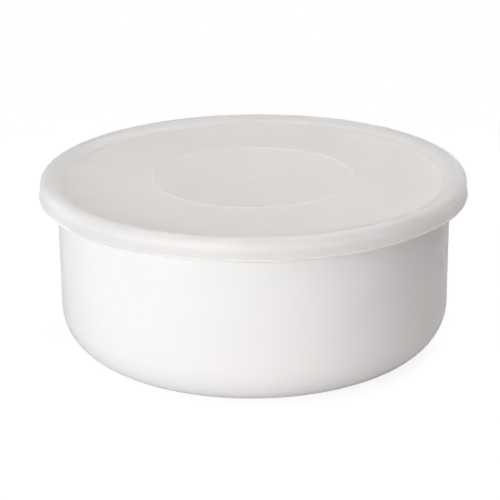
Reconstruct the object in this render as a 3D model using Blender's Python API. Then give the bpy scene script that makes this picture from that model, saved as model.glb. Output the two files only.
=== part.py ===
"""Round storage container: an enamelled steel vessel closed by a soft seal lid.

The vessel is one pressing: a raised base panel inside a foot ring, a large corner radius, a
straight wall, and a mouth that flares out and ends in an open curl. The lid is one moulding: a
sunken disc with a fine ring on it, a round channel that wraps the vessel's rim, a plug ring inside
the mouth, and a skirt with a snap bead inside and a thin lip outside. Both are turned about +Z.
Units are metres. The origin is at the middle of the base, on the surface that it stands on.
"""

import math

import bmesh
import bpy

# Fineness of the turned surfaces
SEGMENTS = 64
CHORD_ERROR = 0.0001
RIB_SIDES = 4
SMOOTH_ANGLE = math.radians(40)
MERGE_DISTANCE = 0.000001

# Vessel: the sheet is steel with enamel on both faces
SHEET = 0.0012
WALL_RADIUS = 0.0918
VESSEL_HEIGHT = 0.0812
CORNER_RADIUS = 0.0205
PANEL_RADIUS = 0.0580
PANEL_RISE = 0.0008
PANEL_SLOPE_WIDTH = 0.0030

# Rim: its reach is measured from the wall's inner face to the outside of the curl
RIM_REACH = 0.0072
CURL_RADIUS = 0.0020
CURL_END_ANGLE = math.radians(-130)

# Lid: everything in it follows the rim with this clearance
FIT_GAP = 0.0003
LID_THICKNESS = 0.0013
DISC_THICKNESS = 0.0012
DISC_DEPTH = 0.0035
DISC_FILLET_RADIUS = 0.0020
PLUG_DEPTH = 0.0091
PLUG_FILLET_RADIUS = 0.0008

# Skirt: depth and flare are measured from the crest and from the rim's widest point
SKIRT_DEPTH = 0.0098
SKIRT_FLARE = 0.0006
LIP_RADIUS = 0.0006
LIP_STAND_OUT = 0.0003
SNAP_BEAD_RADIUS = 0.0007
SNAP_BEAD_HEIGHT = 0.0004

# Raised marks on the disc: the fine ring, and the stub where the plastic was fed in
RING_RADIUS = 0.0468
RING_WIDTH = 0.0009
RING_HEIGHT = 0.0004
GATE_RADIUS = 0.0024
GATE_HEIGHT = 0.0003
GATE_SLOPE_WIDTH = 0.0003

# Colours as linear RGB
ENAMEL_COLOUR = (0.86, 0.86, 0.84)
ENAMEL_ROUGHNESS = 0.16
LID_COLOUR = (0.72, 0.72, 0.69)
LID_ROUGHNESS = 0.38
LID_TRANSMISSION = 0.25

# Sizes worked out from the values above
WALL_INNER_RADIUS = WALL_RADIUS - SHEET
BEND_RADIUS = RIM_REACH - CURL_RADIUS
CREST_RADIUS = WALL_INNER_RADIUS + BEND_RADIUS
SEAT_HEIGHT = VESSEL_HEIGHT + FIT_GAP
RIGHT = 0.0
UP = math.radians(90)
LEFT = math.radians(180)
DOWN = math.radians(-90)


def clear_scene():
    for thing in list(bpy.data.objects):
        bpy.data.objects.remove(thing)


def arc(centre, radius, start, end):
    """Points from the start angle to the end angle, with chords no further off than CHORD_ERROR."""
    step_angle = 2 * math.acos(1 - CHORD_ERROR / radius)
    steps = max(2, math.ceil(abs(end - start) / step_angle))
    angles = [start + (end - start) * i / steps for i in range(steps + 1)]
    return [(centre[0] + radius * math.cos(a), centre[1] + radius * math.sin(a)) for a in angles]


def rib(radius, width, height):
    """A low rounded rib that stands on the disc, seen in section."""
    half = width / 2
    angles = [LEFT * (1 - i / RIB_SIDES) for i in range(RIB_SIDES + 1)]
    return [(radius + half * math.cos(a), height * math.sin(a)) for a in angles]


def lifted(points, rise):
    return [(r, z + rise) for r, z in points]


def vessel_profile():
    """Half section from the middle of the floor, up the inside, over the rim and back below."""
    corner = (WALL_RADIUS - CORNER_RADIUS, CORNER_RADIUS)
    bend = (CREST_RADIUS, VESSEL_HEIGHT - BEND_RADIUS)
    curl = (CREST_RADIUS, VESSEL_HEIGHT - CURL_RADIUS)
    panel_end = PANEL_RADIUS + PANEL_SLOPE_WIDTH

    inside = [(0, SHEET + PANEL_RISE), (PANEL_RADIUS, SHEET + PANEL_RISE), (panel_end, SHEET)]
    inside += arc(corner, CORNER_RADIUS - SHEET, DOWN, RIGHT)
    inside += arc(bend, BEND_RADIUS, LEFT, UP)
    outer_curl = arc(curl, CURL_RADIUS, UP, CURL_END_ANGLE)
    inner_curl = arc(curl, CURL_RADIUS - SHEET, CURL_END_ANGLE, UP)
    outside = arc(bend, BEND_RADIUS - SHEET, UP, LEFT)
    outside += arc(corner, CORNER_RADIUS, RIGHT, DOWN)
    outside += [(panel_end, 0), (PANEL_RADIUS, PANEL_RISE), (0, PANEL_RISE)]
    return inside + outer_curl[1:] + inner_curl + outside[1:]


def lid_top():
    """The face seen from above, from the middle of the disc to the widest part of the crown."""
    crest = LID_THICKNESS
    disc = crest - DISC_DEPTH
    bend = (CREST_RADIUS, -BEND_RADIUS - FIT_GAP)
    curl = (CREST_RADIUS, -CURL_RADIUS - FIT_GAP)
    inner_crown = crest - bend[1]
    outer_crown = crest - curl[1]

    # The fillet touches the disc and the outside of the crown's inner arc
    fillet_height = disc + DISC_FILLET_RADIUS
    rise = fillet_height - bend[1]
    fillet_reach = math.sqrt((inner_crown + DISC_FILLET_RADIUS) ** 2 - rise**2)
    fillet = (CREST_RADIUS - fillet_reach, fillet_height)
    meeting = math.atan2(rise, fillet_reach)

    gate_end = GATE_RADIUS + GATE_SLOPE_WIDTH
    gate = lifted([(0, GATE_HEIGHT), (GATE_RADIUS, GATE_HEIGHT), (gate_end, 0)], disc)
    points = gate + lifted(rib(RING_RADIUS, RING_WIDTH, RING_HEIGHT), disc)
    points += arc(fillet, DISC_FILLET_RADIUS, DOWN, -meeting)
    points += arc(bend, inner_crown, LEFT - meeting, UP)[1:]
    points += arc(curl, outer_crown, UP, RIGHT)[1:]
    return points


def lid_skirt():
    """Down the skirt's outer face, round its lip and up past the snap bead inside."""
    widest = CREST_RADIUS + CURL_RADIUS + FIT_GAP
    foot = LID_THICKNESS - SKIRT_DEPTH
    lip_edge = widest + LID_THICKNESS + SKIRT_FLARE
    lip = (lip_edge - LIP_RADIUS, foot + LIP_RADIUS)
    bead = (widest + SNAP_BEAD_RADIUS, foot + SNAP_BEAD_RADIUS)
    lip_top = lip[1] + LIP_RADIUS
    relief_radius = widest + SNAP_BEAD_HEIGHT
    relief_top = -2 * CURL_RADIUS - FIT_GAP

    points = [(lip_edge - LIP_STAND_OUT, lip_top)]
    points += arc(lip, LIP_RADIUS, RIGHT, DOWN)
    points += arc(bead, SNAP_BEAD_RADIUS, DOWN, -LEFT)
    points += [(relief_radius, bead[1] + SNAP_BEAD_RADIUS), (relief_radius, relief_top)]
    return points


def lid_underside():
    """Over the rim inside the channel, round the plug ring and back below the disc."""
    bend = (CREST_RADIUS, -BEND_RADIUS - FIT_GAP)
    curl = (CREST_RADIUS, -CURL_RADIUS - FIT_GAP)
    plug_outer = WALL_INNER_RADIUS - FIT_GAP
    tip_radius = LID_THICKNESS / 2
    tip = (plug_outer - tip_radius, LID_THICKNESS - PLUG_DEPTH + tip_radius)
    disc_bottom = LID_THICKNESS - DISC_DEPTH - DISC_THICKNESS
    corner_radius = plug_outer - LID_THICKNESS - PLUG_FILLET_RADIUS
    corner = (corner_radius, disc_bottom - PLUG_FILLET_RADIUS)

    points = arc(curl, CURL_RADIUS + FIT_GAP, RIGHT, UP)
    points += arc(bend, BEND_RADIUS + FIT_GAP, UP, LEFT)[1:]
    points += arc(tip, tip_radius, RIGHT, -LEFT)
    points += arc(corner, PLUG_FILLET_RADIUS, RIGHT, UP)
    points += [(0, disc_bottom)]
    return points


def lid_profile():
    return lid_top() + lid_skirt() + lid_underside()


def turned(name, profile, height, material):
    """Turns a half section, which starts and ends on the axis, into one closed solid."""
    bm = bmesh.new()
    verts = [bm.verts.new((r, 0, z)) for r, z in profile]
    edges = [bm.edges.new(pair) for pair in zip(verts, verts[1:])]
    bmesh.ops.spin(
        bm,
        geom=verts + edges,
        cent=(0, 0, 0),
        axis=(0, 0, 1),
        angle=math.tau,
        steps=SEGMENTS,
        use_merge=True,
    )
    bmesh.ops.remove_doubles(bm, verts=bm.verts, dist=MERGE_DISTANCE)
    bmesh.ops.recalc_face_normals(bm, faces=bm.faces)
    mesh = bpy.data.meshes.new(name)
    bm.to_mesh(mesh)
    bm.free()
    mesh.shade_smooth()
    mesh.set_sharp_from_angle(angle=SMOOTH_ANGLE)
    mesh.materials.append(material)
    piece = bpy.data.objects.new(name, mesh)
    piece.location.z = height
    bpy.context.scene.collection.objects.link(piece)
    return piece


def surface(name, colour, roughness, transmission=0.0):
    material = bpy.data.materials.new(name)
    material.use_nodes = True
    shader = material.node_tree.nodes["Principled BSDF"]
    shader.inputs["Base Color"].default_value = (*colour, 1)
    shader.inputs["Metallic"].default_value = 0
    shader.inputs["Roughness"].default_value = roughness
    shader.inputs["Transmission Weight"].default_value = transmission
    return material


def build():
    clear_scene()
    enamel = surface("white_enamel", ENAMEL_COLOUR, ENAMEL_ROUGHNESS)
    soft_plastic = surface("milky_plastic", LID_COLOUR, LID_ROUGHNESS, LID_TRANSMISSION)
    turned("vessel", vessel_profile(), 0, enamel)
    turned("seal_lid", lid_profile(), SEAT_HEIGHT, soft_plastic)


build()
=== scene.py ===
# %% [markdown]
# # A round enamelled container with a soft seal lid
#
# The real object is two pieces. The vessel is one steel pressing under glossy white enamel, and the
# lid is one thin moulding in milky polyethylene that snaps over the vessel's rolled rim. The packed
# solids have their true sizes and places, but their curves are faceted. This lesson turns both pieces
# again from finer sections, gives each its finish, and lights them in a plain bright studio.
#
# All lengths are in metres. Z is the axis of both pieces, and the floor is at zero.

import math

import bpy
import numpy as np
from mathutils import Matrix, Vector


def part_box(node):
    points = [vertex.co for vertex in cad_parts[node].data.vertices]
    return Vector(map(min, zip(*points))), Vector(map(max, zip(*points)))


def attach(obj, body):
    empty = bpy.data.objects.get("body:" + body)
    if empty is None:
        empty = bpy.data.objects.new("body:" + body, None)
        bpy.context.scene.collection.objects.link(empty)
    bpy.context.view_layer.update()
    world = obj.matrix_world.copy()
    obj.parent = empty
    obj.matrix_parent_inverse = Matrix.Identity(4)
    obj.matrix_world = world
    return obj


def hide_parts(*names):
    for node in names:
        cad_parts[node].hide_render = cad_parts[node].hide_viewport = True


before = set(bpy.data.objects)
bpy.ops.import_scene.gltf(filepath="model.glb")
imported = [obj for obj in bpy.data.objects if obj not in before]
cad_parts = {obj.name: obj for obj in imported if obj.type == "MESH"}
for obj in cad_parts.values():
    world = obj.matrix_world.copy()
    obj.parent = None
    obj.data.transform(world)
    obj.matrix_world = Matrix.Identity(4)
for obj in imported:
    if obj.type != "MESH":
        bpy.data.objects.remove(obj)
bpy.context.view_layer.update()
vessel_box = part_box("vessel")
lid_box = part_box("seal_lid")
print("vessel from", tuple(vessel_box[0]), "to", tuple(vessel_box[1]))
print("lid from", tuple(lid_box[0]), "to", tuple(lid_box[1]))

# %% [markdown]
# A turned piece needs only its half section: a line of points, each a radius and a height, that starts
# and ends on the axis. Its bends are arcs, so a few small helpers draw most of it. They could be drawn
# by hand as a curve object, but with numpy each bend keeps the radius that it was measured to have.

# %% Helpers that draw a section
ARC_STEPS = 20
SMALL_ARC_STEPS = 8
STRAIGHT_STEPS = 12
RIB_STEPS = 16
RIGHT = 0
UP = 90
LEFT = 180
DOWN = -90


def arc(centre, radius, start, end, steps=ARC_STEPS):
    """Points at centre + radius * (cos a, sin a), with the angle a even from start to end in degrees."""
    angle = np.radians(np.linspace(start, end, steps + 1))
    return np.stack([centre[0] + radius * np.cos(angle), centre[1] + radius * np.sin(angle)], axis=1)


def straight(start, end, steps=STRAIGHT_STEPS):
    """Points at start + s * (end - start) with s even, without either end. They keep a face flat."""
    share = np.linspace(0, 1, steps + 1)[1:-1, None]
    return np.array(start) + share * (np.array(end) - np.array(start))


def eased(before, corner, after, radius, steps=SMALL_ARC_STEPS):
    """An arc in place of a corner. It touches both straight sides at radius / tan(half the angle)."""
    before, corner, after = np.array(before), np.array(corner), np.array(after)
    first = (before - corner) / np.linalg.norm(before - corner)
    last = (after - corner) / np.linalg.norm(after - corner)
    half = math.acos(np.clip(first @ last, -1, 1)) / 2
    middle = (first + last) / np.linalg.norm(first + last)
    centre = corner + middle * radius / math.sin(half)
    start = corner + first * radius / math.tan(half) - centre
    turn = math.copysign(math.pi - 2 * half, start[0] * middle[1] - start[1] * middle[0])
    angle = np.linspace(0, -turn, steps + 1)
    x = start[0] * np.cos(angle) - start[1] * np.sin(angle)
    y = start[0] * np.sin(angle) + start[1] * np.cos(angle)
    return centre + np.stack([x, y], axis=1)


print("a corner eased by 1 mm:", eased((0, 0), (0.01, 0), (0.01, 0.01), 0.001, 2).round(5).tolist())

# %% [markdown]
# The vessel's section starts in the middle of the floor, goes out over the raised panel, up round the
# large corner and the wall, flares out over the rim, ends in the curl, and comes back on the outside.
# The sheet with its enamel is 1.2 mm thick, so each outer arc shares its centre with an inner one.

# %% Draw the vessel's section
SHEET = 0.0012
WALL_RADIUS = 0.0918
VESSEL_HEIGHT = 0.0812
CORNER_RADIUS = 0.0205
PANEL_RADIUS = 0.0580
PANEL_RISE = 0.0008
PANEL_SLOPE_WIDTH = 0.0030
PANEL_EASE = 0.0050
RIM_REACH = 0.0072
CURL_RADIUS = 0.0020
CURL_END = -130
WALL_INNER_RADIUS = WALL_RADIUS - SHEET
BEND_RADIUS = RIM_REACH - CURL_RADIUS
CREST_RADIUS = WALL_INNER_RADIUS + BEND_RADIUS


def panel_edge(height, side):
    """The step from the raised base panel down to the foot ring, with both its corners eased."""
    inner = (0.0, height + PANEL_RISE)
    top = (PANEL_RADIUS, height + PANEL_RISE)
    bottom = (PANEL_RADIUS + PANEL_SLOPE_WIDTH, height)
    outer = (WALL_RADIUS - CORNER_RADIUS, height)
    step = np.concatenate([eased(inner, top, bottom, PANEL_EASE), eased(top, bottom, outer, PANEL_EASE)])
    return step if side == "outwards" else step[::-1]


def vessel_section():
    """The closed half section: arcs about the corner, the bend and the curl, joined by straights."""
    corner = (WALL_RADIUS - CORNER_RADIUS, CORNER_RADIUS)
    bend = (CREST_RADIUS, VESSEL_HEIGHT - BEND_RADIUS)
    curl = (CREST_RADIUS, VESSEL_HEIGHT - CURL_RADIUS)
    parts = [
        [(0, SHEET + PANEL_RISE)],
        panel_edge(SHEET, "outwards"),
        arc(corner, CORNER_RADIUS - SHEET, DOWN, RIGHT),
        arc(bend, BEND_RADIUS, LEFT, UP),
        arc(curl, CURL_RADIUS, UP, CURL_END)[1:],
        arc(curl, CURL_RADIUS - SHEET, CURL_END, UP),
        arc(bend, BEND_RADIUS - SHEET, UP, LEFT)[1:],
        arc(corner, CORNER_RADIUS, RIGHT, DOWN),
        panel_edge(0, "inwards"),
        [(0, PANEL_RISE)],
    ]
    return np.concatenate([np.array(part, float) for part in parts])


vessel_line = vessel_section()
print("vessel section:", len(vessel_line), "points, rim out to", vessel_line[:, 0].max().round(5))

# %% [markdown]
# The lid's section is drawn from where its channel rests on the rim. From above it is a flat disc with
# a small stub in the middle, where the plastic was fed in, and one fine raised ring. The disc turns up
# into a round crown, the crown rolls over into the skirt, and the skirt ends in a thin lip. Underneath,
# a snap bead, the channel and the plug ring wrap the vessel's rim with 0.3 mm of room.

# %% Draw the lid's section
FIT_GAP = 0.0003
LID_THICKNESS = 0.0013
DISC_THICKNESS = 0.0012
DISC_DEPTH = 0.0035
DISC_FILLET_RADIUS = 0.0045
PLUG_DEPTH = 0.0091
PLUG_FILLET_RADIUS = 0.0008
SKIRT_DEPTH = 0.0098
SKIRT_FLARE = 0.0006
LIP_RADIUS = 0.0006
LIP_STAND_OUT = 0.0003
SNAP_BEAD_RADIUS = 0.0007
SNAP_BEAD_HEIGHT = 0.0004
RING_RADIUS = 0.0468
RING_WIDTH = 0.0009
RING_HEIGHT = 0.00025
GATE_RADIUS = 0.0024
GATE_HEIGHT = 0.0003
GATE_SLOPE_WIDTH = 0.0003
GATE_EASE = 0.0002
SEAT_HEIGHT = VESSEL_HEIGHT + FIT_GAP
DISC_TOP = LID_THICKNESS - DISC_DEPTH
WIDEST = CREST_RADIUS + CURL_RADIUS + FIT_GAP
BEND_CENTRE = (CREST_RADIUS, -BEND_RADIUS - FIT_GAP)
CURL_CENTRE = (CREST_RADIUS, -CURL_RADIUS - FIT_GAP)


def raised_line(middle, width, height, steps=RIB_STEPS):
    """A fine rounded rib: height * cos^2(90 degrees * s), with s from -1 to 1 across its width."""
    s = np.linspace(-1, 1, steps + 1)
    return np.stack([middle + s * width / 2, height * np.cos(s * math.pi / 2) ** 2], axis=1)


def lid_top():
    """The middle stub, the ring, the fillet that touches disc and crown, and the crown's two arcs."""
    stub = (GATE_RADIUS, GATE_HEIGHT)
    stub_foot = (GATE_RADIUS + GATE_SLOPE_WIDTH, 0)
    inner_crown = LID_THICKNESS - BEND_CENTRE[1]
    outer_crown = LID_THICKNESS - CURL_CENTRE[1]
    rise = DISC_TOP + DISC_FILLET_RADIUS - BEND_CENTRE[1]
    reach = math.sqrt((inner_crown + DISC_FILLET_RADIUS) ** 2 - rise**2)
    fillet = (CREST_RADIUS - reach, DISC_TOP + DISC_FILLET_RADIUS)
    meeting = math.degrees(math.atan2(rise, reach))
    on_disc = [
        [(0, GATE_HEIGHT)],
        eased((0, GATE_HEIGHT), stub, stub_foot, GATE_EASE),
        eased(stub, stub_foot, (RING_RADIUS, 0), GATE_EASE),
        raised_line(RING_RADIUS, RING_WIDTH, RING_HEIGHT),
    ]
    disc = np.concatenate([np.array(part, float) for part in on_disc]) + (0, DISC_TOP)
    parts = [
        disc,
        arc(fillet, DISC_FILLET_RADIUS, DOWN, -meeting),
        arc(BEND_CENTRE, inner_crown, LEFT - meeting, UP)[1:],
        arc(CURL_CENTRE, outer_crown, UP, RIGHT)[1:],
    ]
    return np.concatenate(parts)


def lid_skirt():
    """Down the flared skirt, round the lip's thin bead and up over the snap bead's half circle."""
    foot = LID_THICKNESS - SKIRT_DEPTH
    edge = WIDEST + LID_THICKNESS + SKIRT_FLARE
    lip = (edge - LIP_RADIUS, foot + LIP_RADIUS)
    bead = (WIDEST + SNAP_BEAD_RADIUS, foot + SNAP_BEAD_RADIUS)
    lip_start = math.degrees(math.acos((LIP_RADIUS - LIP_STAND_OUT) / LIP_RADIUS))
    bead_top = (WIDEST + SNAP_BEAD_HEIGHT, bead[1] + SNAP_BEAD_RADIUS)
    relief_top = (WIDEST + SNAP_BEAD_HEIGHT, -2 * CURL_RADIUS - FIT_GAP)
    lip_arc = arc(lip, LIP_RADIUS, lip_start, DOWN, SMALL_ARC_STEPS)
    parts = [
        straight((WIDEST + LID_THICKNESS, CURL_CENTRE[1]), lip_arc[0]),
        lip_arc,
        arc(bead, SNAP_BEAD_RADIUS, DOWN, -LEFT, SMALL_ARC_STEPS),
        eased((WIDEST, bead[1]), bead_top, relief_top, LIP_RADIUS),
        eased(bead_top, relief_top, (WIDEST, CURL_CENTRE[1]), SNAP_BEAD_RADIUS),
    ]
    return np.concatenate(parts)


def lid_underside():
    """Over the rim in the channel, round the plug ring's tip and back below the disc to the axis."""
    plug_outer = WALL_INNER_RADIUS - FIT_GAP
    tip_radius = LID_THICKNESS / 2
    tip = (plug_outer - tip_radius, LID_THICKNESS - PLUG_DEPTH + tip_radius)
    disc_bottom = DISC_TOP - DISC_THICKNESS
    corner = (plug_outer - LID_THICKNESS - PLUG_FILLET_RADIUS, disc_bottom - PLUG_FILLET_RADIUS)
    parts = [
        arc(CURL_CENTRE, CURL_RADIUS + FIT_GAP, RIGHT, UP),
        arc(BEND_CENTRE, BEND_RADIUS + FIT_GAP, UP, LEFT)[1:],
        arc(tip, tip_radius, RIGHT, -LEFT, SMALL_ARC_STEPS),
        arc(corner, PLUG_FILLET_RADIUS, RIGHT, UP, SMALL_ARC_STEPS),
        np.array([(0, disc_bottom)]),
    ]
    return np.concatenate(parts)


lid_line = np.concatenate([lid_top(), lid_skirt(), lid_underside()]) + (0, SEAT_HEIGHT)
print("lid section:", len(lid_line), "points, lip out to", lid_line[:, 0].max().round(5))

# %% [markdown]
# Blender's Screw modifier could turn the sections. Here each shell is a grid instead: one way round the
# axis and one way along the section, worked out in two numpy lines. The two ends of the section are
# single points on the axis, which fans of triangles close, so the shell has no seam, slit or hole.

# %% Turn the sections into shells
TURNS = 288
CUBIC_CM = 1e6


def grid_faces(rows):
    """Quads between neighbouring rings, with the last point of each ring joined to its first."""
    start = np.arange(rows - 1)[:, None] * TURNS
    here = np.arange(TURNS)[None, :]
    beyond = (here + 1) % TURNS
    outer = start + TURNS
    quads = np.stack([start + here, outer + here, outer + beyond, start + beyond], axis=-1)
    return quads.reshape(-1, 4)


def turned_shell(name, section):
    """Carries the section round Z: the point (r, z) at angle t goes to (r cos t, r sin t, z)."""
    angle = np.arange(TURNS) * math.tau / TURNS
    radius, height = section[1:-1, 0], section[1:-1, 1]
    rings = np.empty((len(radius), TURNS, 3))
    rings[..., 0] = radius[:, None] * np.cos(angle)
    rings[..., 1] = radius[:, None] * np.sin(angle)
    rings[..., 2] = height[:, None]
    ends = np.array([(0, 0, section[0, 1]), (0, 0, section[-1, 1])])
    points = np.concatenate([rings.reshape(-1, 3), ends])
    first_end, last_end = len(points) - 2, len(points) - 1
    here = np.arange(TURNS)
    beyond = (here + 1) % TURNS
    last_ring = (len(radius) - 1) * TURNS
    first_fan = np.stack([np.full(TURNS, first_end), here, beyond], axis=1)
    last_fan = np.stack([np.full(TURNS, last_end), last_ring + beyond, last_ring + here], axis=1)
    faces = grid_faces(len(radius)).tolist() + first_fan.tolist() + last_fan.tolist()
    mesh = bpy.data.meshes.new(name)
    mesh.from_pydata(points.tolist(), [], faces)
    mesh.shade_smooth()
    piece = bpy.data.objects.new(name, mesh)
    bpy.context.scene.collection.objects.link(piece)
    return piece


def inside_volume(mesh):
    """Sum of a . (b x c) / 6 over the triangles, which is positive when the faces point outwards."""
    mesh.calc_loop_triangles()
    places = np.empty(len(mesh.vertices) * 3)
    corners = np.empty(len(mesh.loop_triangles) * 3, int)
    mesh.vertices.foreach_get("co", places)
    mesh.loop_triangles.foreach_get("vertices", corners)
    a, b, c = np.moveaxis(places.reshape(-1, 3)[corners.reshape(-1, 3)], 1, 0)
    return (a * np.cross(b, c)).sum() / 6


vessel = turned_shell("vessel_enamelled", vessel_line)
lid = turned_shell("lid_moulded", lid_line)
for piece in (vessel, lid):
    volume = round(inside_volume(piece.data) * CUBIC_CM, 1)
    print(piece.name, len(piece.data.loop_triangles), "triangles,", volume, "cubic cm of wall")

# %% [markdown]
# Some places need their own values. The enamel stops short at the curl's cut edge. The lid is a warm
# milky tone on its thin disc, and cooler and greyer where the crown and the skirt wrap the rim. That
# grey is painted shade against the lamps' full light there, and a lighter crown foot and lip are painted
# highlights. More of the light wanders inside the crown and skirt than inside the disc. A vertex
# attribute carries each of the three. It follows the shape, and costs a formula instead of a painted
# image.

# %% Mark the bare edge, and give the lid its milk and painted light from place to place
EDGE_CORE = 0.0005
EDGE_FADE = 0.0003
DISC_MILK = (0.855, 0.830, 0.792)
# A lighter band at the foot of the crown's inner slope: a painted highlight on the milk.
FOOT_MILK_AND_HIGHLIGHT = (0.722, 0.707, 0.689)
# Slope, crown, widest band and skirt are greyer than the disc: painted shade that tones down the lamps'
# full light on them.
SLOPE_MILK_AND_SHADE = (0.669, 0.666, 0.664)
CROWN_MILK_AND_SHADE = (0.690, 0.688, 0.685)
WIDEST_MILK_AND_SHADE = (0.681, 0.678, 0.665)
SKIRT_MILK_AND_SHADE = (0.625, 0.618, 0.604)
# A lighter line along the lip: a painted highlight on the milk.
LIP_MILK_AND_HIGHLIGHT = (0.760, 0.755, 0.738)
DISC_END = 0.0874
CROWN_START = 0.0915
TOP_MILK_AND_PAINTED_LIGHT = [(DISC_END, DISC_MILK), (0.0890, FOOT_MILK_AND_HIGHLIGHT), (0.0920, SLOPE_MILK_AND_SHADE), (0.0950, CROWN_MILK_AND_SHADE)]
SIDE_MILK_AND_PAINTED_LIGHT = [
    (0.0736, LIP_MILK_AND_HIGHLIGHT),
    (0.0742, SKIRT_MILK_AND_SHADE),
    (0.0772, SKIRT_MILK_AND_SHADE),
    (0.0788, WIDEST_MILK_AND_SHADE),
    (0.0800, WIDEST_MILK_AND_SHADE),
    (0.0820, CROWN_MILK_AND_SHADE),
]
DISC_SCATTER = 0.3


def smooth_step(value, low, high):
    """0 below low, 1 above high, and 3 s^2 - 2 s^3 between them."""
    s = np.clip((value - low) / (high - low), 0, 1)
    return s * s * (3 - 2 * s)


def places_of(piece):
    """The piece's points, as rows of x, y and z."""
    places = np.empty(len(piece.data.vertices) * 3)
    piece.data.vertices.foreach_get("co", places)
    return places.reshape(-1, 3)


def store_mask(piece, name, values):
    """Keeps one number for each point, which a material reads by the attribute's name."""
    attribute = piece.data.attributes.new(name, "FLOAT", "POINT")
    attribute.data.foreach_set("value", values.astype(np.float32))
    print(piece.name, name, "mean", round(float(values.mean()), 3))


def bare_edge_mask(places):
    """1 close to the middle of the curl's cut edge, fading out over a hair's breadth."""
    middle = CURL_RADIUS - SHEET / 2
    end = math.radians(CURL_END)
    edge_radius = CREST_RADIUS + middle * math.cos(end)
    edge_height = VESSEL_HEIGHT - CURL_RADIUS + middle * math.sin(end)
    radius = np.hypot(places[:, 0], places[:, 1])
    away = np.hypot(radius - edge_radius, places[:, 2] - edge_height)
    return 1 - smooth_step(away, EDGE_CORE, EDGE_CORE + EDGE_FADE)


def read_off(table, values):
    """The table's colour for each value, with straight lines between its rows."""
    steps = [step for step, _ in table]
    channels = zip(*(milk_and_painted_light for _, milk_and_painted_light in table))
    return np.stack([np.interp(values, steps, channel) for channel in channels], axis=1)


def milk_and_painted_light_colours(places):
    """Inside the crest the colour goes by the distance from the axis, and outside it by the height."""
    radius = np.hypot(places[:, 0], places[:, 1])
    on_side = (radius > CREST_RADIUS)[:, None]
    colours = np.where(on_side, read_off(SIDE_MILK_AND_PAINTED_LIGHT, places[:, 2]), read_off(TOP_MILK_AND_PAINTED_LIGHT, radius))
    return np.concatenate([colours, np.ones((len(places), 1))], axis=1)


def scatter_mask(places):
    """The share of the light that wanders inside: less in the thin disc, and all of it in the crown."""
    radius = np.hypot(places[:, 0], places[:, 1])
    return DISC_SCATTER + (1 - DISC_SCATTER) * smooth_step(radius, DISC_END, CROWN_START)


def store_colours(piece, name, colours):
    """Keeps one colour for each point, as linear red, green, blue and a full last channel."""
    attribute = piece.data.attributes.new(name, "FLOAT_COLOR", "POINT")
    attribute.data.foreach_set("color", colours.astype(np.float32).ravel())
    print(piece.name, name, "mean", colours.mean(axis=0)[:3].round(3).tolist())


store_mask(vessel, "bare_edge", bare_edge_mask(places_of(vessel)))
store_mask(lid, "scatter", scatter_mask(places_of(lid)))
# The lid's colour by place, with painted shade on crown and skirt and painted highlights on foot and
# lip.
store_colours(lid, "milk_and_painted_light", milk_and_painted_light_colours(places_of(lid)))

# %% [markdown]
# No real surface is one even colour. Enamel is fired glass: its tone drifts a little with its thickness,
# and its skin has a faint orange peel. The lid has the fine grain of its mould and is never quite flat.
# Both effects are the same idea at other sizes, so each is a node group that both materials use.

# %% Helpers that add and join shader nodes


def add_node(tree, kind, **inputs):
    """Adds a node and sets its inputs. An underscore in a name stands for a space."""
    node = tree.nodes.new(kind)
    for name, value in inputs.items():
        node.inputs[name.replace("_", " ")].default_value = value
    return node


def join(tree, source, output, target, socket):
    """Joins two nodes by the names of their sockets."""
    tree.links.new(source.outputs[output], target.inputs[socket])


def arithmetic(tree, operation, first, second):
    """A Math node whose two inputs are numbers or sockets."""
    node = tree.nodes.new("ShaderNodeMath")
    node.operation = operation
    for place, value in enumerate((first, second)):
        if isinstance(value, bpy.types.NodeSocket):
            tree.links.new(value, node.inputs[place])
        else:
            node.inputs[place].default_value = value
    return node.outputs[0]


# %% Helpers that mix colours


def blended(tree, share, first, second):
    """A colour that goes from first to second as the share goes from 0 to 1."""
    node = tree.nodes.new("ShaderNodeMix")
    node.data_type = "RGBA"
    sockets = {socket.identifier: socket for socket in node.inputs}
    tree.links.new(share, sockets["Factor_Float"])
    for name, value in (("A_Color", first), ("B_Color", second)):
        if isinstance(value, bpy.types.NodeSocket):
            tree.links.new(value, sockets[name])
        else:
            sockets[name].default_value = (*value, 1)
    return next(socket for socket in node.outputs if socket.identifier == "Result_Color")


def multiplied(tree, first, second):
    """A colour that is the product of two colours, channel by channel."""
    node = tree.nodes.new("ShaderNodeMix")
    node.data_type = "RGBA"
    node.blend_type = "MULTIPLY"
    sockets = {socket.identifier: socket for socket in node.inputs}
    sockets["Factor_Float"].default_value = 1
    tree.links.new(first, sockets["A_Color"])
    tree.links.new(second, sockets["B_Color"])
    return next(socket for socket in node.outputs if socket.identifier == "Result_Color")


# %% Helper that starts a node group


def new_group(name, inputs, output):
    """An empty node group with a vector input, the named number inputs, and one number output."""
    tree = bpy.data.node_groups.new(name, "ShaderNodeTree")
    tree.interface.new_socket("Vector", in_out="INPUT", socket_type="NodeSocketVector")
    for title in inputs:
        tree.interface.new_socket(title, in_out="INPUT", socket_type="NodeSocketFloat")
    tree.interface.new_socket(output, in_out="OUTPUT", socket_type="NodeSocketFloat")
    return tree, tree.nodes.new("NodeGroupInput"), tree.nodes.new("NodeGroupOutput")


# %% Node group: patches, a value that drifts from place to place
PATCH_DETAIL = 2.0
PATCH_ROUGHNESS = 0.5
PATCH_LOW = 0.35
PATCH_HIGH = 0.65


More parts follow.
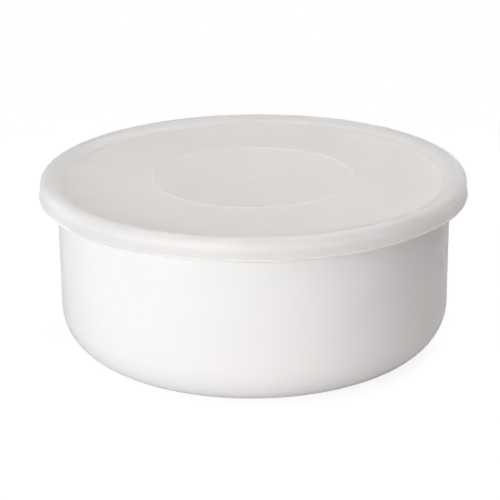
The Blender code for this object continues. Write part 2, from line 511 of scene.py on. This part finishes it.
def make_patches_group():
    """Noise at 1 / patch width, with its middle range stretched to run from Low to High."""
    tree, given, result = new_group("patches", ["Patch Width", "Low", "High"], "Value")
    noise = add_node(tree, "ShaderNodeTexNoise", Detail=PATCH_DETAIL, Roughness=PATCH_ROUGHNESS)
    scale = arithmetic(tree, "DIVIDE", 1.0, given.outputs["Patch Width"])
    stretch = add_node(tree, "ShaderNodeMapRange", From_Min=PATCH_LOW, From_Max=PATCH_HIGH)
    join(tree, given, "Vector", noise, "Vector")
    tree.links.new(scale, noise.inputs["Scale"])
    tree.links.new(noise.outputs[0], stretch.inputs["Value"])
    join(tree, given, "Low", stretch, "To Min")
    join(tree, given, "High", stretch, "To Max")
    join(tree, stretch, "Result", result, "Value")
    return tree


patches_group = make_patches_group()
print("node group", patches_group.name, "with", len(patches_group.nodes), "nodes")

# %% Node group: skin, a height made of slow ripples and fine grain
SKIN_DETAIL = 1.0
SKIN_ROUGHNESS = 0.4


def make_skin_group():
    """Height = ripple noise * ripple depth + grain noise * grain depth, each noise at 1 / its width."""
    names = ["Ripple Width", "Ripple Depth", "Grain Width", "Grain Depth"]
    tree, given, result = new_group("skin", names, "Height")
    heights = []
    for kind in ("Ripple", "Grain"):
        noise = add_node(tree, "ShaderNodeTexNoise", Detail=SKIN_DETAIL, Roughness=SKIN_ROUGHNESS)
        scale = arithmetic(tree, "DIVIDE", 1.0, given.outputs[kind + " Width"])
        join(tree, given, "Vector", noise, "Vector")
        tree.links.new(scale, noise.inputs["Scale"])
        heights.append(arithmetic(tree, "MULTIPLY", noise.outputs[0], given.outputs[kind + " Depth"]))
    tree.links.new(arithmetic(tree, "ADD", *heights), result.inputs["Height"])
    return tree


skin_group = make_skin_group()
print("node group", skin_group.name, "with", len(skin_group.nodes), "nodes")

# %% Helpers that start a finish


def place_group(tree, group, vector, **inputs):
    """Puts a group into a material with its own values, fed by the given vector."""
    node = tree.nodes.new("ShaderNodeGroup")
    node.node_tree = group
    tree.links.new(vector, node.inputs["Vector"])
    for name, value in inputs.items():
        node.inputs[name.replace("_", " ")].default_value = value
    return node.outputs[0]


def new_finish(name):
    """A material with one Principled shader, and object coordinates through a Mapping node."""
    material = bpy.data.materials.new(name)
    material.use_nodes = True
    tree = material.node_tree
    shader = tree.nodes["Principled BSDF"]
    place = tree.nodes.new("ShaderNodeTexCoord")
    centred = tree.nodes.new("ShaderNodeMapping")
    join(tree, place, "Object", centred, "Vector")
    return material, tree, shader, centred


def give_relief(tree, shader, height):
    """Height in metres tilts the shader's normal through a Bump node."""
    bump = add_node(tree, "ShaderNodeBump", Strength=1.0, Distance=1.0)
    tree.links.new(height, bump.inputs["Height"])
    join(tree, bump, "Normal", shader, "Normal")


# %% [markdown]
# White enamel is a glossy glass skin over steel. One Principled shader does it: no metal, a low
# roughness and a near white colour that is a touch cooler where the glass is thin. At the curl's cut
# edge the dark ground coat shows, and the foot ring keeps three small marks from the pins that it stood
# on in the kiln.

# %% Finish: white enamel
ENAMEL_THICK = (0.866, 0.866, 0.856)
ENAMEL_THIN = (0.848, 0.851, 0.845)
ENAMEL_TONE = {"Patch_Width": 0.030, "Low": 0.0, "High": 1.0}
ENAMEL_GLOSS = {"Patch_Width": 0.012, "Low": 0.17, "High": 0.23}
ENAMEL_SKIN = {"Ripple_Width": 0.007, "Ripple_Depth": 8e-6, "Grain_Width": 0.0018, "Grain_Depth": 1.2e-6}
GLASS_IOR = 1.5
GROUND_COAT = (0.022, 0.022, 0.026)
PIN_MARK = (0.160, 0.150, 0.140)
PIN_MARK_RADIUS = 0.0009
PIN_MARK_FADE = 0.0005
PIN_CIRCLE = 0.0662
PIN_ANGLES = (90, 210, 330)


def pin_mark_mask(tree, vector):
    """1 within a small ball about each of the three points that the foot ring stood on."""
    nearest = None
    for angle in np.radians(PIN_ANGLES):
        away = tree.nodes.new("ShaderNodeVectorMath")
        away.operation = "DISTANCE"
        tree.links.new(vector, away.inputs[0])
        away.inputs[1].default_value = (PIN_CIRCLE * np.cos(angle), PIN_CIRCLE * np.sin(angle), 0)
        distance = away.outputs["Value"]
        nearest = distance if nearest is None else arithmetic(tree, "MINIMUM", nearest, distance)
    fade = add_node(tree, "ShaderNodeMapRange", From_Min=PIN_MARK_RADIUS, To_Min=1.0, To_Max=0.0)
    fade.inputs["From Max"].default_value = PIN_MARK_RADIUS + PIN_MARK_FADE
    tree.links.new(nearest, fade.inputs["Value"])
    return fade.outputs["Result"]


def make_enamel():
    """The colour of thin to thick glass, with the bare edge and then the pin marks laid over it."""
    material, tree, shader, centred = new_finish("white_enamel")
    vector = centred.outputs["Vector"]
    thickness = place_group(tree, patches_group, vector, **ENAMEL_TONE)
    gloss = place_group(tree, patches_group, vector, **ENAMEL_GLOSS)
    height = place_group(tree, skin_group, vector, **ENAMEL_SKIN)
    bare = tree.nodes.new("ShaderNodeAttribute")
    bare.attribute_name = "bare_edge"
    glass = blended(tree, thickness, ENAMEL_THIN, ENAMEL_THICK)
    edged = blended(tree, bare.outputs["Fac"], glass, GROUND_COAT)
    marked = blended(tree, pin_mark_mask(tree, vector), edged, PIN_MARK)
    tree.links.new(marked, shader.inputs["Base Color"])
    tree.links.new(gloss, shader.inputs["Roughness"])
    shader.inputs["IOR"].default_value = GLASS_IOR
    give_relief(tree, shader, height)
    return material


vessel.data.materials.append(make_enamel())
print("vessel wears", vessel.data.materials[0].name)

# %% [markdown]
# Polyethylene this thin is milky: light goes in, wanders sideways and comes out well away from where it
# went in. Subsurface scattering over a centimetre and more evens out the shading of the crown and the
# skirt, which gives the lid its soft look. The disc has less of it, so it glows only a little when it is
# lit from below. Faint rays lead out from its middle, where the hot plastic flowed into the mould.

# %% Finish: milky polyethylene
CLOUD_DARKER = (0.985, 0.985, 0.985)
CLOUDS = {"Patch_Width": 0.040, "Low": 0.0, "High": 1.0}
FLOW_DARKER = (0.990, 0.990, 0.990)
FLOW_RAYS = {"Patch_Width": 0.09, "Low": 0.0, "High": 1.0}
LID_GLOSS = {"Patch_Width": 0.020, "Low": 0.40, "High": 0.46}
LID_SKIN = {"Ripple_Width": 0.045, "Ripple_Depth": 6e-5, "Grain_Width": 0.0006, "Grain_Depth": 3e-6}
PLASTIC_IOR = 1.5
SCATTER_RADIUS = (1.0, 0.95, 0.9)
SCATTER_SCALE = 0.025


def flow_rays(tree, vector):
    """Noise on the direction from the axis alone, so that it draws faint rays from the middle."""
    flat = tree.nodes.new("ShaderNodeVectorMath")
    flat.operation = "MULTIPLY"
    flat.inputs[1].default_value = (1, 1, 0)
    outwards = tree.nodes.new("ShaderNodeVectorMath")
    outwards.operation = "NORMALIZE"
    tree.links.new(vector, flat.inputs[0])
    tree.links.new(flat.outputs[0], outwards.inputs[0])
    return place_group(tree, patches_group, outwards.outputs[0], **FLOW_RAYS)


def make_soft_plastic():
    """Colour = milk and painted light by place * flow rays * slow clouds, with light wandering inside.
    """
    material, tree, shader, centred = new_finish("milky_polyethylene")
    vector = centred.outputs["Vector"]
    milk_and_painted_light = tree.nodes.new("ShaderNodeAttribute")
    milk_and_painted_light.attribute_name = "milk_and_painted_light"
    cloud = place_group(tree, patches_group, vector, **CLOUDS)
    rays = flow_rays(tree, vector)
    flow = blended(tree, rays, (1, 1, 1), FLOW_DARKER)
    tint = multiplied(tree, flow, blended(tree, cloud, (1, 1, 1), CLOUD_DARKER))
    coloured = multiplied(tree, milk_and_painted_light.outputs["Color"], tint)
    gloss = place_group(tree, patches_group, vector, **LID_GLOSS)
    height = place_group(tree, skin_group, vector, **LID_SKIN)
    tree.links.new(coloured, shader.inputs["Base Color"])
    tree.links.new(gloss, shader.inputs["Roughness"])
    shader.inputs["IOR"].default_value = PLASTIC_IOR
    shader.subsurface_method = "BURLEY"
    share = tree.nodes.new("ShaderNodeAttribute")
    share.attribute_name = "scatter"
    tree.links.new(share.outputs["Fac"], shader.inputs["Subsurface Weight"])
    shader.inputs["Subsurface Radius"].default_value = SCATTER_RADIUS
    shader.inputs["Subsurface Scale"].default_value = SCATTER_SCALE
    give_relief(tree, shader, height)
    return material


lid.data.materials.append(make_soft_plastic())
print("lid wears", lid.data.materials[0].name)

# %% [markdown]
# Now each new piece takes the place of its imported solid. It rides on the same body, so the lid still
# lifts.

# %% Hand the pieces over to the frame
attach(vessel, "container")
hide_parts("vessel")
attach(lid, "lid")
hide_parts("seal_lid")

# %% [markdown]
# The camera stands in front and a little above, far enough away that the round lid hardly tapers. Its
# place was worked out from the outlines of the lid, the ring and the vessel. It leans by half a degree.

# %% Camera
PICTURE_SIDE = 500
FOCAL_PIXELS = 1712
SENSOR_WIDTH = 36
CAMERA_DISTANCE = 0.8029
CAMERA_ELEVATION = math.radians(17.42)
CAMERA_PITCH_DOWN = math.radians(19.89)
CAMERA_YAW = math.radians(0.14)
CAMERA_ROLL = math.radians(-0.59)
DISC_HEIGHT = SEAT_HEIGHT + DISC_TOP


def make_camera():
    """Back by distance * cos(elevation) and up by distance * sin(elevation) from the disc's middle."""
    data = bpy.data.cameras.new("camera")
    data.sensor_width = SENSOR_WIDTH
    data.lens = FOCAL_PIXELS / PICTURE_SIDE * SENSOR_WIDTH
    back = CAMERA_DISTANCE * math.cos(CAMERA_ELEVATION)
    rise = CAMERA_DISTANCE * math.sin(CAMERA_ELEVATION)
    camera = bpy.data.objects.new("camera", data)
    turn = Matrix.Rotation(CAMERA_YAW, 4, "Z")
    tilt = Matrix.Rotation(math.pi / 2 - CAMERA_PITCH_DOWN, 4, "X")
    lean = Matrix.Rotation(CAMERA_ROLL, 4, "Z")
    camera.matrix_world = Matrix.Translation((0, -back, DISC_HEIGHT + rise)) @ turn @ tilt @ lean
    bpy.context.scene.collection.objects.link(camera)
    bpy.context.scene.camera = camera
    return camera


camera = make_camera()
print("camera at", tuple(round(v, 4) for v in camera.location), "lens", round(camera.data.lens, 2))

# %% [markdown]
# White on white is the hard part of such a picture. A wide soft lamp from the front left shapes the
# round wall. Three weaker ones from the side, the back and above give the lid its even light, and a
# faint warm sky fills the rest. Lamps a touch cool and a sky that is warm add up to white.

# %% Lamps
KEY = {"left": 31, "height": 12, "distance": 1.8, "wide": 1.3, "tall": 0.6}
KEY_POWER = 24.3
KEY_COLOUR = (0.96, 0.995, 1.0)
SIDE = {"left": 115, "height": 12, "distance": 1.8, "wide": 1.0, "tall": 0.6}
SIDE_POWER = 6.4
SIDE_COLOUR = (0.82, 1.0, 0.97)
BACK = {"left": -140, "height": 50, "distance": 1.5, "wide": 1.2, "tall": 1.2}
BACK_POWER = 9.8
BACK_COLOUR = (0.87, 1.0, 1.0)
TOP = {"left": -20, "height": 70, "distance": 1.5, "wide": 1.7, "tall": 1.7}
TOP_POWER = 7.8
TOP_COLOUR = (1.0, 0.89, 0.88)
AIM_HEIGHT = 0.05


def soft_light(name, left, height, distance, wide, tall, power, colour):
    """A flat lamp on a sphere about the object: its angles are left of the front and above the floor."""
    data = bpy.data.lights.new(name, "AREA")
    data.shape = "RECTANGLE"
    data.size = wide
    data.size_y = tall
    data.energy = power
    data.color = colour
    lamp = bpy.data.objects.new(name, data)
    a, e = math.radians(left), math.radians(height)
    outwards = Vector((-math.sin(a) * math.cos(e), -math.cos(a) * math.cos(e), math.sin(e)))
    lamp.location = Vector((0, 0, AIM_HEIGHT)) + outwards * distance
    lamp.rotation_mode = "QUATERNION"
    lamp.rotation_quaternion = (-outwards).to_track_quat("-Z", "Y")
    bpy.context.scene.collection.objects.link(lamp)
    return lamp


lamps = [
    soft_light("key_light", **KEY, power=KEY_POWER, colour=KEY_COLOUR),
    soft_light("side_light", **SIDE, power=SIDE_POWER, colour=SIDE_COLOUR),
    soft_light("back_light", **BACK, power=BACK_POWER, colour=BACK_COLOUR),
    soft_light("top_light", **TOP, power=TOP_POWER, colour=TOP_COLOUR),
]
for lamp in lamps:
    print(lamp.name, "at", tuple(round(v, 2) for v in lamp.location), "of", lamp.data.energy, "W")

# %% [markdown]
# The sky has two strengths. As light on the object it is faint and warm. To the camera, also in a mirror
# or through glass, it is plain white, which makes the backdrop without any more light on the object.

# %% Sky
SKY_STRENGTH = 0.11
SKY_COLOUR = (1.0, 0.60, 0.60)


def seen_directly(tree):
    """1 for what the camera sees, also in a mirror or through glass, and 0 for light on the object."""
    path = tree.nodes.new("ShaderNodeLightPath")
    glossy, through = path.outputs["Is Glossy Ray"], path.outputs["Is Transmission Ray"]
    mirrored = arithmetic(tree, "MAXIMUM", glossy, through)
    return arithmetic(tree, "MAXIMUM", path.outputs["Is Camera Ray"], mirrored)


def make_sky():
    """A mix of the warm fill and a white backdrop, by whether the ray is one that the camera sees."""
    world = bpy.data.worlds.new("sky")
    world.use_nodes = True
    tree = world.node_tree
    fill = tree.nodes["Background"]
    fill.inputs["Color"].default_value = (*SKY_COLOUR, 1)
    fill.inputs["Strength"].default_value = SKY_STRENGTH
    backdrop = add_node(tree, "ShaderNodeBackground", Color=(1, 1, 1, 1), Strength=1.0)
    choice = tree.nodes.new("ShaderNodeMixShader")
    tree.links.new(seen_directly(tree), choice.inputs[0])
    tree.links.new(fill.outputs[0], choice.inputs[1])
    tree.links.new(backdrop.outputs[0], choice.inputs[2])
    tree.links.new(choice.outputs[0], tree.nodes["World Output"].inputs["Surface"])
    bpy.context.scene.world = world


make_sky()
print("sky fills with", SKY_STRENGTH, "of", SKY_COLOUR)

# %% [markdown]
# The floor is pale and sends light up to the wall. To the camera it is white away from the object, and
# near the object it is a dim matt paint over a glow, which keeps the object's own soft shadow.

# %% Floor
FLOOR_RADIUS = 3.0


def make_floor():
    """A round sheet. Its rays fan out from the middle, with their ends on a circle."""
    angle = np.arange(TURNS) * math.tau / TURNS
    edge = np.stack([np.cos(angle), np.sin(angle), np.zeros(TURNS)], axis=1) * FLOOR_RADIUS
    points = np.concatenate([edge, np.zeros((1, 3))])
    here = np.arange(TURNS)
    faces = np.stack([np.full(TURNS, TURNS), here, (here + 1) % TURNS], axis=1)
    mesh = bpy.data.meshes.new("floor")
    mesh.from_pydata(points.tolist(), [], faces.tolist())
    floor = bpy.data.objects.new("floor", mesh)
    bpy.context.scene.collection.objects.link(floor)
    return floor


floor = make_floor()
print("floor", FLOOR_RADIUS * 2, "m across")

# %% Floor paint
FLOOR_BOUNCE = (0.81, 0.80, 0.80)
FLOOR_SHADE = (0.25, 0.25, 0.25)
FLOOR_GLOW = 0.85
SHADOW_FROM = 0.16
SHADOW_TO = 0.42


def make_floor_paint():
    """Pale for the light it sends back, a faint shade on a glow for the eye, and white far out."""
    material = bpy.data.materials.new("floor_paint")
    material.use_nodes = True
    tree = material.node_tree
    tree.nodes.remove(tree.nodes["Principled BSDF"])
    bounce = add_node(tree, "ShaderNodeBsdfDiffuse", Color=(*FLOOR_BOUNCE, 1))
    shade = add_node(tree, "ShaderNodeBsdfDiffuse", Color=(*FLOOR_SHADE, 1))
    glow = add_node(tree, "ShaderNodeEmission", Color=(1, 1, 1, 1), Strength=FLOOR_GLOW)
    white = add_node(tree, "ShaderNodeEmission", Color=(1, 1, 1, 1), Strength=1.0)
    faint = tree.nodes.new("ShaderNodeAddShader")
    join(tree, shade, 0, faint, 0)
    join(tree, glow, 0, faint, 1)
    path = tree.nodes.new("ShaderNodeLightPath")
    near = tree.nodes.new("ShaderNodeMixShader")
    join(tree, path, "Is Camera Ray", near, 0)
    tree.links.new(bounce.outputs[0], near.inputs[1])
    tree.links.new(faint.outputs[0], near.inputs[2])
    place = tree.nodes.new("ShaderNodeTexCoord")
    away = tree.nodes.new("ShaderNodeVectorMath")
    away.operation = "LENGTH"
    join(tree, place, "Object", away, 0)
    fade = add_node(tree, "ShaderNodeMapRange", From_Min=SHADOW_FROM, From_Max=SHADOW_TO)
    fade.interpolation_type = "SMOOTHSTEP"
    join(tree, away, "Value", fade, "Value")
    seen = tree.nodes.new("ShaderNodeMixShader")
    tree.links.new(fade.outputs["Result"], seen.inputs[0])
    tree.links.new(near.outputs[0], seen.inputs[1])
    tree.links.new(white.outputs[0], seen.inputs[2])
    choice = tree.nodes.new("ShaderNodeMixShader")
    tree.links.new(seen_directly(tree), choice.inputs[0])
    tree.links.new(bounce.outputs[0], choice.inputs[1])
    tree.links.new(seen.outputs[0], choice.inputs[2])
    tree.links.new(choice.outputs[0], tree.nodes["Material Output"].inputs["Surface"])
    return material


floor.data.materials.append(make_floor_paint())
print("floor wears", floor.data.materials[0].name)

# %% [markdown]
# Standard colours keep each tone as it is written.

# %% Colour handling
bpy.context.scene.view_settings.view_transform = "Standard"
